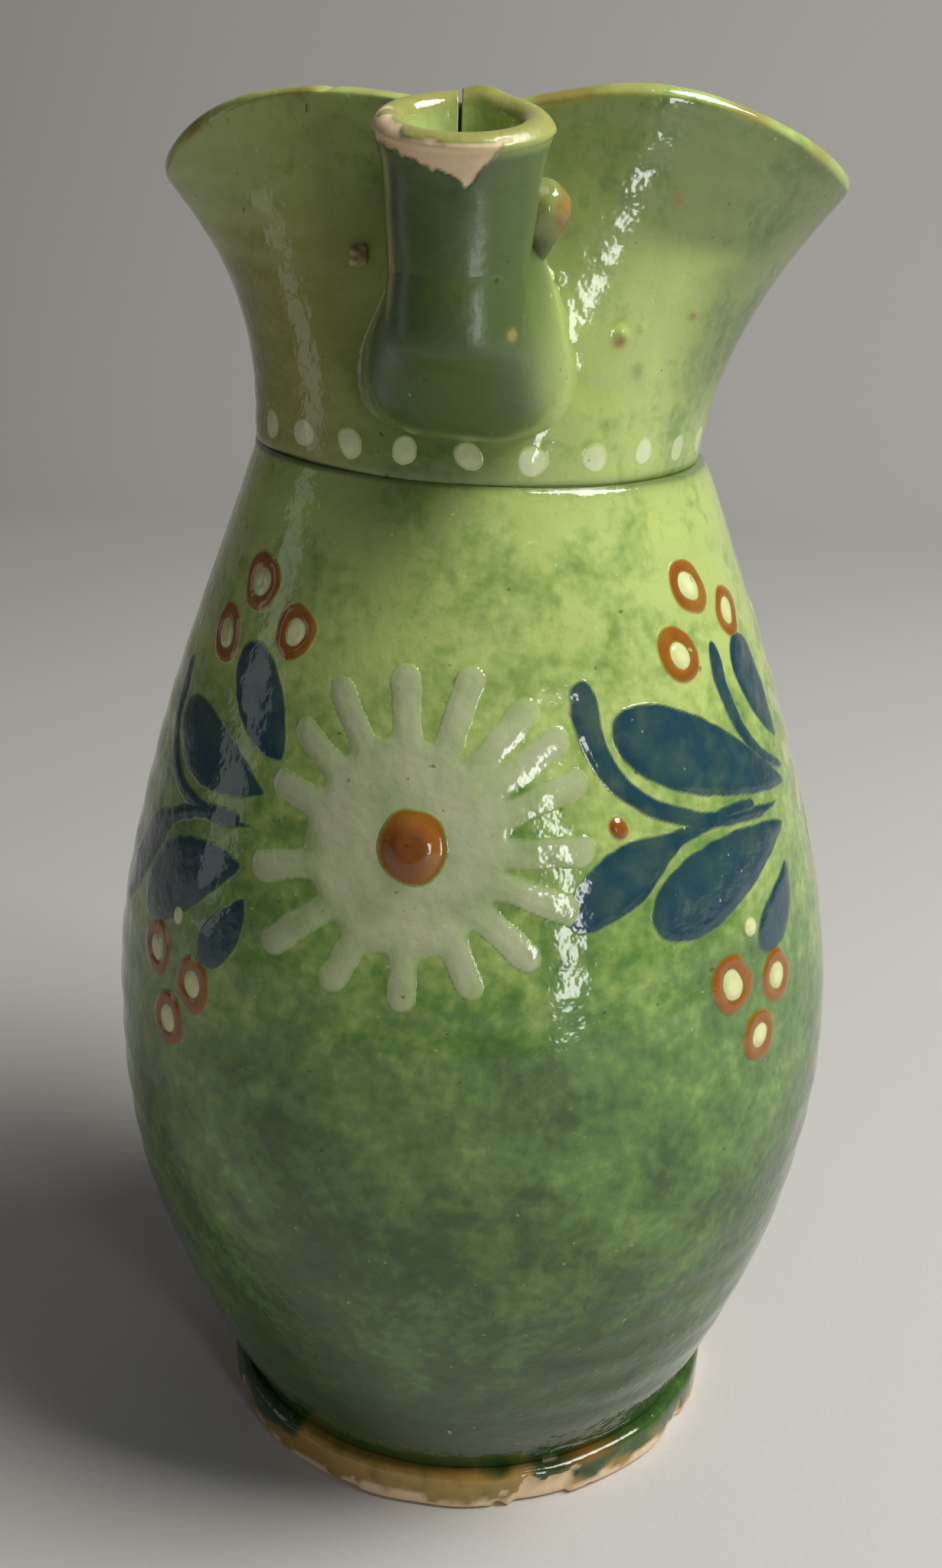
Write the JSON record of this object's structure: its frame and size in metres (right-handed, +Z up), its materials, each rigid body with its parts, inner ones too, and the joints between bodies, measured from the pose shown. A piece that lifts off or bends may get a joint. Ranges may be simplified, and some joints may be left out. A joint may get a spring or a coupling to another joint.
{
  "type": "puzzle jug",
  "caption": "Green-glazed slipware puzzle jug: egg-shaped belly on a foot ring, pinched wavy rim, a drinking tube on the neck's front, a hidden dip pipe and a strap handle.",
  "frame": {"origin": "middle of the standing face under the foot", "axes": "+Z up, -Y towards the drinking tube, +X to the jug's right seen from the front"},
  "size_m": [0.114, 0.1364, 0.209],
  "materials": {
    "green_glaze": "glossy mottled green lead-type glaze over red-buff earthenware",
    "thin_glaze_foot": "thin ochre glaze over bare clay",
    "bare_clay": "unglazed fired earthenware",
    "white_slip": "white slip under green glaze",
    "brown_slip": "iron-brown slip under glaze",
    "blue_slip": "dark blue slip under glaze",
    "cream_slip": "cream slip under glaze"
  },
  "bodies": {
    "root": {"belly": "green_glaze", "shoulder": "green_glaze", "foot_ring": "thin_glaze_foot", "neck": "green_glaze", "front_tube": "green_glaze", "tube_root": "green_glaze", "right_bridge": "green_glaze", "left_pellet": "green_glaze", "dip_pipe": "bare_clay", "pipe_elbow": "bare_clay", "handle": "green_glaze", "neck_dots": "white_slip", "daisy_front": "white_slip", "daisy_right": "white_slip", "daisy_left": "white_slip", "boss_front": "brown_slip", "boss_right": "brown_slip", "boss_left": "brown_slip", "right_leaves": "blue_slip", "left_leaves": "blue_slip", "right_berry_rings": "brown_slip", "left_berry_rings": "brown_slip", "right_cream_dots": "cream_slip", "left_cream_dots": "cream_slip", "stray_drop": "brown_slip"}
  },
  "joints": []
}
